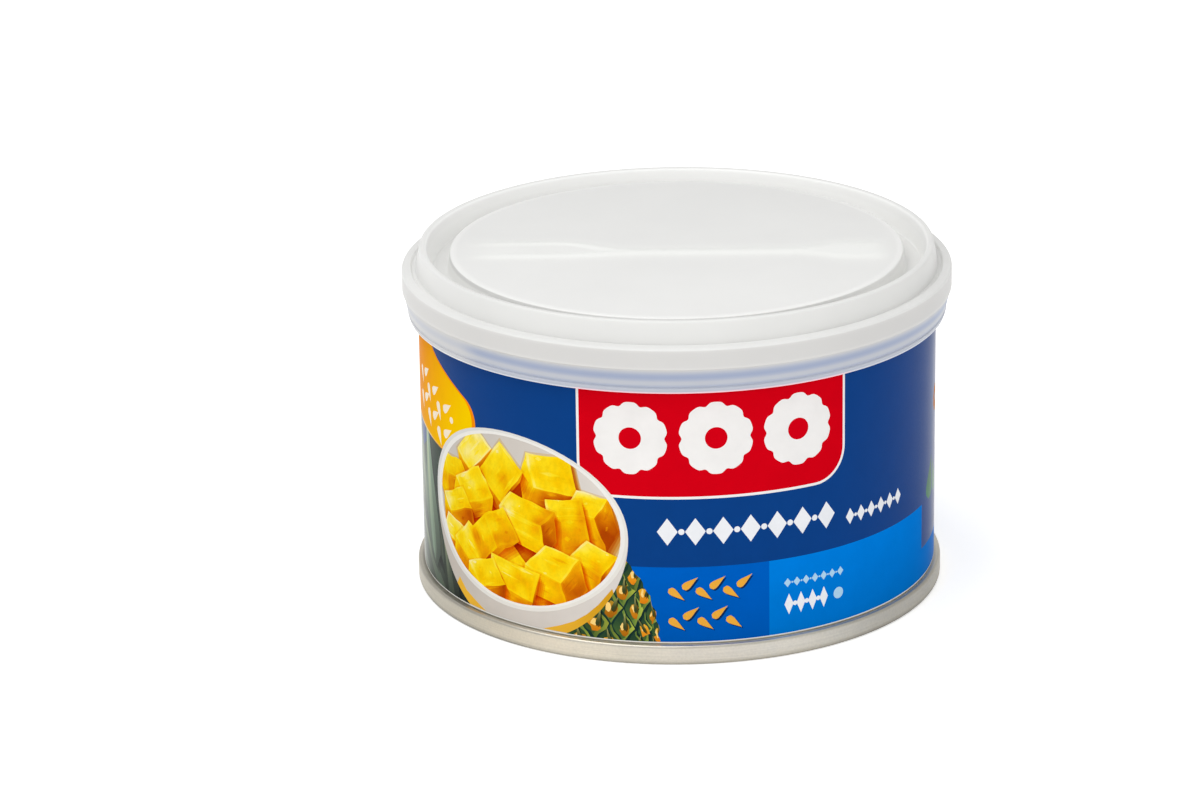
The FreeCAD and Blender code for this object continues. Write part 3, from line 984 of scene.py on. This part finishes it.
# panels: left, lower and right edge, and for the ruled one its upper edge too
PANEL = (-15.7, 27.7, 27.6)
PANEL_CORNER = 5.2
PANEL_EDGE = 0.42
SIDE_PANEL = (50.3, 8.4, 96.0)
RULED = (64.6, 14.2, 92.6, 39.68)
RULED_COLUMNS = (64.6, 80.0, 92.32)
RULE_STEP = 4.2
RULE_WIDTH = 0.28
WHITE = rgb(240, 242, 246)


def lay_fields(sheet, colours):
    """The navy ground, the lower band in two blues and the plain side panel."""
    start, end = sheet_ends(colours)
    sheet.lay(box_shape(start - 1, wrapper_low - 1, end + 1, wrapper_high + 1), np.array(colours.ground))
    band, bright = np.array(colours.band), np.array(colours.bright)
    parts = ((start - 1, BAND_SPLIT, band, 0.97), (BAND_SPLIT, end + 1, bright, 0.96))
    for left, right, blue, lower in (*parts, (start - 1, BAND_BACK, bright, 0.96)):
        field = box_shape(left, wrapper_low - 1, right, BAND_TOP)
        sheet.lay(field, fade(blue * 1.06, blue * lower, (0, BAND_TOP), (0, STRIP_TOP)))
    left, low, right = SIDE_PANEL
    sheet.lay(box_shape(left, low, right, wrapper_high + 1), np.array(colours.ground))


def slice_ring(sheet, u, z, radius, paint, hole, notches=10, flesh=0.0):
    """A slice of the fruit: a ring with a notched outside."""
    turns = np.linspace(0, 2 * math.pi, notches * 12, endpoint=False)
    reach = radius * (1 - 0.09 * np.abs(np.cos(turns * notches / 2)) ** 6)
    sheet.lay(np.stack([u + reach * np.cos(turns), z + reach * np.sin(turns)], 1), paint, flesh)
    sheet.lay(oval(u, z, radius * 0.3, radius * 0.3, steps=32), hole)


def lay_panel(sheet, colours):
    """The red panel with a white edge and three white slices."""
    left, low, right = PANEL
    red, white = np.array(colours.panel), rgb(244, 242, 240)
    top = wrapper_high + 1
    corner, edge = PANEL_CORNER + PANEL_EDGE, PANEL_EDGE
    sheet.lay(box_shape(left - edge, low - edge, right + edge, top, corner, corner), white)
    sheet.lay(box_shape(left, low, right, top, PANEL_CORNER, PANEL_CORNER), red)
    for number in range(3):
        slice_ring(sheet, left + 8.2 + 13.4 * number, 37.2, 5.9, white, red)


def lozenge_row(sheet, start, end, z, up, count, shade):
    """A row of lozenges with a small dot between each two."""
    pitch = (end - start) / count
    for number in range(count):
        u = start + pitch * (number + 0.5)
        sheet.lay(lozenge(u, z, pitch * 0.37, up), shade)
        if number:
            sheet.lay(oval(u - pitch / 2, z, up * 0.22, up * 0.22, steps=16), shade)


def sprig_row(sheet, start, end, z, reach, count, shade):
    """A row of small leaves that lean up and down in turn, each with a shadow."""
    pitch = (end - start) / count
    for number in range(count):
        shape = leaf(start + pitch * (number + 0.1), z, reach, reach * 0.42, 38 if number % 2 else -38)
        sheet.shade(shape + (0.25, -0.25), 0.45)
        sheet.lay(shape, shade)


def lay_ornaments(sheet):
    """Plain ornaments on the ground and the band."""
    gold, pale = rgb(238, 172, 62), rgb(176, 214, 240)
    lozenge_row(sheet, -4.0, 26.6, 21.9, 2.25, 7, WHITE)
    lozenge_row(sheet, 28.0, 42.2, 20.6, 1.35, 6, WHITE)
    sprig_row(sheet, -1.9, 11.0, 12.4, 3.1, 6, gold)
    sprig_row(sheet, -1.9, 9.4, 7.4, 3.1, 5, gold)
    lozenge_row(sheet, 16.6, 28.0, 11.9, 0.75, 7, pale)
    lozenge_row(sheet, 16.6, 25.0, 8.3, 1.75, 4, WHITE)
    sheet.lay(oval(26.8, 8.3, 0.95, 0.95, steps=24), pale)


def lay_sides(sheet, colours):
    """The parts that face away: a ruled panel, a green sprig, golden slices, small leaves and lozenges."""
    rule, ground, green = rgb(150, 172, 206), np.array(colours.ground), rgb(58, 132, 84)
    left, low, right, high = RULED
    for number in range(7):
        z = low + RULE_STEP * number
        sheet.lay(box_shape(left, z, right, z + RULE_WIDTH), rule)
    for u in RULED_COLUMNS:
        sheet.lay(box_shape(u, low, u + RULE_WIDTH, high), rule)
    sheet.lay(leaf(54.2, 15.6, 7.4, 4.4, 72), fade(green, green * 0.7, (54, 15), (58, 22)))
    sheet.lay(leaf(59.4, 15.6, 6.0, 3.2, 108), fade(green * 1.1, green * 0.8, (59, 15), (57, 21)))
    slice_ring(sheet, 60.4, 31.0, 2.3, rgb(206, 132, 62), ground)
    for number, (u, z) in enumerate(((-118.0, 29.5), (-104.5, 30.9), (-91.0, 29.5))):
        for radius, light, flesh in ((7.6, 0.52, 0.6), (6.7, 0.72, 1.0)):
            slice_ring(sheet, u, z, radius, fruit_paint(light, seed=number), ground, flesh=flesh)
        sheet.grain(oval(u, z, 7.6, 7.6), 0.7)
    sprig_row(sheet, 102.0, 125.0, 33.0, 6.0, 6, WHITE)
    lozenge_row(sheet, 102.0, 125.0, 23.0, 1.6, 7, WHITE)


def sheet_ends(colours):
    """Where the wrapper's visible side starts, just past the lap, and where it ends, on top of the lap."""
    return -half_round + colours.lap / 2, half_round + colours.lap / 2


def draw_print(colours):
    """Every shape of the print, from the ground up. Unseeded, noise vectors would change with each run."""
    noise.seed_set(WAVER_SEED)
    sheet = Print()
    start, end = sheet_ends(colours)
    lay_fields(sheet, colours)
    lay_sides(sheet, colours)
    lay_panel(sheet, colours)
    lay_ornaments(sheet)
    floor = box_shape(-90, STRIP_TOP, 60, wrapper_high)
    lay_leaves(sheet, floor)
    lay_tag(sheet)
    lay_rind(sheet, floor)
    lay_bowl(sheet, floor)
    strip = box_shape(start - 1, wrapper_low - 1, end + 1, STRIP_TOP)
    sheet.lay(strip, np.array(colours.paper))
    return sheet


# --- Wrapper mesh ---

# in mm: the lap's rise, the radius of the inner side, and how near two points are one
RAMP = 1.0
BACKING_RADIUS = body_radius + 0.01
TOUCHING = 1e-4
# how far apart a vivid ink's strongest and weakest of red, green and blue are
VIVID = 0.56


def lines_of(sheet, colours):
    """Points and edges of every outline, with a grid over the whole wrapper that bends with it."""
    start, end = sheet_ends(colours)
    points, edges = [], []

    def add(outline, closed=True):
        first, count = len(points), len(outline)
        points.extend(map(tuple, outline))
        edges.extend((first + k, first + (k + 1) % count) for k in range(count if closed else count - 1))

    for shape in sheet.shapes:
        add(shape[1])
    columns = math.ceil((end - start) / colours.grid)
    rows = math.ceil((wrapper_high - wrapper_low) / colours.grid)
    for u in np.linspace(start, end, columns + 1):
        add([(u, wrapper_low), (u, wrapper_high)], False)
    for z in np.linspace(wrapper_low, wrapper_high, rows + 1):
        add([(start, z), (end, z)], False)
    for u in (end - colours.lap - RAMP, end - colours.lap):
        add([(u, wrapper_low), (u, wrapper_high)], False)
    for outline, step in sheet.grains:
        low, high = outline.min(0), outline.max(0)
        across, up = np.arange(low[0], high[0], step), np.arange(low[1], high[1], step * 0.87)
        grid = np.array([(u + step / 2 * (k % 2), z) for k, z in enumerate(up) for u in across])
        points.extend(map(tuple, grid[inside(grid, outline)]))
    return points, edges


def flat_triangles(sheet, colours):
    """The print cut into triangles that cross no outline: flat points, and three indices for each."""
    start, end = sheet_ends(colours)
    points, edges = lines_of(sheet, colours)
    vectors = [Vector(p) for p in points]
    found = delaunay_2d_cdt(vectors, edges, [], 0, TOUCHING, False)
    flat = np.array([tuple(v) for v in found[0]])
    faces = np.array(found[2])
    middles = flat[faces].mean(1)
    low, high = np.array((start, wrapper_low)), np.array((end, wrapper_high))
    faces = faces[((middles > low) & (middles < high)).all(1)]
    a, b, c = (flat[faces[:, k]] for k in range(3))
    area = (b[:, 0] - a[:, 0]) * (c[:, 1] - a[:, 1]) - (b[:, 1] - a[:, 1]) * (c[:, 0] - a[:, 0])
    faces[area < 0] = faces[area < 0][:, ::-1]
    used, faces = np.unique(faces, return_inverse=True)
    return np.clip(flat[used], low, high), faces.reshape(-1, 3)


def painted(sheet, flat, faces):
    """A screen colour and an amount of flesh for each corner of each triangle."""
    middles = flat[faces].mean(1)
    corners = flat[faces.ravel()].reshape(-1, 3, 2)
    colours = np.ones((len(faces), 3, 3))
    flesh = np.zeros((len(faces), 3))
    for kind, outline, paint, pulp, clips in sheet.shapes:
        under = np.flatnonzero(inside(middles, outline))
        for clip in clips:
            under = under[inside(middles[under], clip)]
        if not len(under):
            continue
        if kind == "shade":
            colours[under] *= paint
            continue
        flesh[under] = pulp
        if callable(paint):
            u, z = corners[under].reshape(-1, 2).T
            colours[under] = paint(u, z).reshape(-1, 3, 3)
        else:
            colours[under] = paint
    return np.clip(colours, 0, 1), flesh


def stitched(first, second):
    """Triangles between two rows of (key, index) pairs that run the same way."""
    made, i, k = [], 0, 0
    while i < len(first) - 1 or k < len(second) - 1:
        if k == len(second) - 1 or (i < len(first) - 1 and first[i + 1][0] <= second[k + 1][0]):
            made.append((first[i][1], first[i + 1][1], second[k][1]))
            i += 1
        else:
            made.append((first[i][1], second[k + 1][1], second[k][1]))
            k += 1
    return made


def row_of(flat, axis, level, along):
    """The (key, index) pairs of the points that lie on one edge of the flat wrapper, in order."""
    on_edge = np.flatnonzero(np.abs(flat[:, axis] - level) < 10 * TOUCHING)
    return sorted((float(flat[k, along]), int(k)) for k in on_edge)


def wrapped(flat, colours, radius=None):
    """Flat points bent round the tin, with the upper end of the lap standing on the lower one."""
    end = sheet_ends(colours)[1]
    u, z = flat.T
    if radius is None:
        rise = smooth_step(u, end - colours.lap - RAMP, end - colours.lap)
        radius = wrapper_radius + (lap_radius - wrapper_radius) * rise
    turn = u / wrapper_radius
    return np.stack([radius * np.sin(turn), -radius * np.cos(turn), z], 1) * MM


def wrapper_edges(flat, colours):
    """What closes the wrapper behind its print: more points, and triangles over all the points."""
    start, end = sheet_ends(colours)
    rims, places, first = [], [], len(flat)
    for level in (wrapper_low, wrapper_high):
        outer = row_of(flat, 1, level, 0)
        places.append(wrapped(flat[[k for _, k in outer[:-1]]], colours, BACKING_RADIUS))
        inner = [(key, first + k) for k, (key, _) in enumerate(outer[:-1])]
        rims += [outer, inner + [(outer[-1][0], first)]]
        first += len(inner)
    low_outer, low_inner, high_outer, high_inner = rims
    left, right = row_of(flat, 0, start, 1), row_of(flat, 0, end, 1)
    faces = []
    for rows in ((low_inner, low_outer), (high_outer, high_inner), (high_inner, low_inner), (left, right)):
        faces += stitched(*rows)
    faces.append((right[0][1], left[0][1], low_inner[0][1]))
    faces.append((left[-1][1], right[-1][1], high_inner[0][1]))
    return np.concatenate(places), faces


def wrapper_mesh(colours):
    """The closed paper wrapper, with the ink and the flesh at each corner of its printed side."""
    sheet = draw_print(colours)
    flat, faces = flat_triangles(sheet, colours)
    shades, flesh = painted(sheet, flat, faces)
    backing, edges = wrapper_edges(flat, colours)
    places = np.concatenate([wrapped(flat, colours), backing])
    mesh = bpy.data.meshes.new("paper_wrapper")
    mesh.from_pydata(places.tolist(), [], faces.tolist() + edges)
    printed, corners = faces.size, len(mesh.loops)
    inks = np.ones((corners, 4), np.float32)
    inks[:, :3] = linear(np.array(colours.paper))
    inks[:printed, :3] = linear(shades.reshape(-1, 3))
    mesh.color_attributes.new("ink", "FLOAT_COLOR", "CORNER").data.foreach_set("color", inks.ravel())
    pulp = np.zeros(corners, np.float32)
    pulp[:printed] = flesh.ravel()
    mesh.attributes.new("flesh", "FLOAT", "CORNER").data.foreach_set("value", pulp)
    vivid = np.zeros(len(mesh.polygons), np.int32)
    vivid[: len(faces)] = np.ptp(shades, axis=2).mean(1) > VIVID
    mesh.polygons.foreach_set("material_index", vivid)
    turn = flat[faces.ravel()][:, 0] / wrapper_radius
    normals = np.repeat([polygon.normal for polygon in mesh.polygons], 3, 0)
    normals[:printed] = np.stack([np.sin(turn), -np.cos(turn), np.zeros(printed)], 1)
    mesh.normals_split_custom_set(normals.tolist())
    return mesh


class TIN_OT_wrapper(bpy.types.Operator):
    """Draw the print and wrap it round the tin"""

    bl_idname = PREFIX + ".wrapper"
    bl_label = "Paper wrapper"

    def execute(self, context):
        mesh = wrapper_mesh(context.scene.tin_wrapper)
        mesh.materials.append(printed_paper("Printed paper", gloss=0.04, sheen=1.0))
        mesh.materials.append(printed_paper("Vivid ink", gloss=0.0, sheen=0.3))
        placed(linked("paper_wrapper", mesh), "label")
        return {"FINISHED"}


# --- Stage ---

# in metres, but for the last three: how white the room is in a mirror, the floor's glow and its corners
FLOOR_RADIUS = 2.5
FLOOR_SEEN_FROM = (0.035, 0.11)
AIM = (-0.012637, 0.0, 0.029019)
MIRRORED_ROOM = 0.62
FLOOR_GLOW = 0.44
FLOOR_STEPS = 96


def kinds_of_ray(tree):
    """1 for rays from the camera or through clear things, and 1 for rays that glossy surfaces send out."""
    path = node(tree, "ShaderNodeLightPath").outputs
    seen = math_node(tree, "MAXIMUM", path["Is Camera Ray"], path["Is Transmission Ray"])
    return seen, path["Is Glossy Ray"]


def make_floor():
    """A pale floor that looks white and keeps the object's soft shadow."""
    turns = [2 * math.pi * k / FLOOR_STEPS for k in range(FLOOR_STEPS)]
    mesh = bpy.data.meshes.new("floor")
    rim = [(FLOOR_RADIUS * math.cos(t), FLOOR_RADIUS * math.sin(t), 0.0) for t in turns]
    mesh.from_pydata(rim, [], [list(range(FLOOR_STEPS))])
    material = bpy.data.materials.new("Pale floor")
    tree = bare_tree(material)
    grain = spread(tree, mottle(tree, (300, 300, 300)), 0.985, 1.0)
    colour = dimmed(tree, socket_colour(rgb(245, 245, 244)), grain)
    matt = node(tree, "ShaderNodeBsdfDiffuse", {"Color": colour})
    where = node(tree, "ShaderNodeTexCoord").outputs["Object"]
    away = node(tree, "ShaderNodeVectorMath", {0: where}, operation="LENGTH").outputs["Value"]
    near, far = FLOOR_SEEN_FROM
    clear = node(tree, "ShaderNodeMapRange", {"Value": away, "From Min": near, "From Max": far})
    seen, mirrored = kinds_of_ray(tree)
    seen = math_node(tree, "MAXIMUM", seen, times(tree, mirrored, clear.outputs["Result"]))
    glow = node(tree, "ShaderNodeEmission", {"Strength": times(tree, seen, FLOOR_GLOW)})
    both = node(tree, "ShaderNodeAddShader", {0: matt.outputs[0], 1: glow.outputs[0]})
    node(tree, "ShaderNodeOutputMaterial", {"Surface": both.outputs[0]})
    mesh.materials.append(material)
    linked("floor", mesh)


def make_world(sky):
    """A white room: white where it is seen, dimmer where it is mirrored, with a soft light all round."""
    world = bpy.data.worlds.new("White room")
    tree = bare_tree(world)
    seen, mirrored = kinds_of_ray(tree)
    plain = math_node(tree, "SUBTRACT", 1.0, math_node(tree, "MAXIMUM", seen, mirrored))
    shown = math_node(tree, "MAXIMUM", seen, times(tree, mirrored, MIRRORED_ROOM))
    level = math_node(tree, "ADD", shown, times(tree, plain, sky))
    light = node(tree, "ShaderNodeBackground", {"Color": (1, 1, 1, 1), "Strength": level})
    node(tree, "ShaderNodeOutputWorld", {"Surface": light.outputs[0]})
    bpy.context.scene.world = world


def make_lamp(name, place, size, power):
    """A soft square lamp that points at the tin."""
    lamp = bpy.data.lights.new(name, "AREA")
    lamp.shape, lamp.size, lamp.energy = "SQUARE", size, power
    holder = linked(name, lamp)
    holder.location = place
    middle = Vector((0, 0, can_height / 2 * MM))
    holder.rotation_euler = (middle - holder.location).to_track_quat("-Z", "Y").to_euler()
    return holder


def make_camera(stage):
    """The camera stands in front of the tin and looks down on it a little."""
    data = bpy.data.cameras.new("Camera")
    data.lens, data.sensor_width = stage.lens, 36.0
    data.clip_start, data.clip_end = 0.05, 20.0
    camera = linked("Camera", data)
    eye = Vector((0, -math.cos(stage.elevation), math.sin(stage.elevation))) * stage.distance
    camera.location = eye
    camera.rotation_mode = "QUATERNION"
    level = (Vector(AIM) - eye).to_track_quat("-Z", "Y")
    camera.rotation_quaternion = level @ Quaternion((0, 0, 1), stage.roll)
    bpy.context.scene.camera = camera


class TIN_OT_stage(bpy.types.Operator):
    """Set up the floor, the white room, the lamps and the camera"""

    bl_idname = PREFIX + ".stage"
    bl_label = "Stage"

    def execute(self, context):
        stage = context.scene.tin_stage
        make_floor()
        make_world(stage.sky)
        make_lamp("Key lamp", (-0.35, -0.2, 1.1), 0.9, stage.key)
        fill = make_lamp("Fill lamp", (0.25, -1.2, 0.5), 0.8, stage.fill)
        fill.visible_glossy = False
        make_camera(stage)
        context.scene.view_settings.view_transform = "Standard"
        return {"FINISHED"}


# --- Panel and registration ---

OPERATORS = (TIN_OT_stage, TIN_OT_steel, TIN_OT_wrapper, TIN_OT_lid)
GROUPS = {
    "tin_steel": SteelSettings,
    "tin_lid": LidSettings,
    "tin_wrapper": WrapperSettings,
    "tin_stage": StageSettings,
}


class TIN_PT_panel(bpy.types.Panel):
    """Lists the tin's pieces"""

    bl_idname = "TIN_PT_panel"
    bl_label = "Pineapple tin"
    bl_space_type = "VIEW_3D"
    bl_region_type = "UI"
    bl_category = "Tin"

    def draw(self, context):
        for operator in OPERATORS:
            self.layout.operator(operator.bl_idname)
        for name, group in GROUPS.items():
            box = self.layout.box()
            for setting in group.__annotations__:
                box.prop(getattr(context.scene, name), setting)


def register():
    for group in GROUPS.values():
        bpy.utils.register_class(group)
    for name, group in GROUPS.items():
        setattr(bpy.types.Scene, name, PointerProperty(type=group))
    for operator in OPERATORS:
        bpy.utils.register_class(operator)
    bpy.utils.register_class(TIN_PT_panel)


def unregister():
    bpy.utils.unregister_class(TIN_PT_panel)
    for operator in reversed(OPERATORS):
        bpy.utils.unregister_class(operator)
    for name, group in GROUPS.items():
        delattr(bpy.types.Scene, name)
        bpy.utils.unregister_class(group)


def main():
    """Makes the stage and every piece."""
    register()
    bpy.ops.tin.stage()
    bpy.ops.tin.steel()
    bpy.ops.tin.wrapper()
    bpy.ops.tin.lid()


if __name__ == "__main__":
    main()
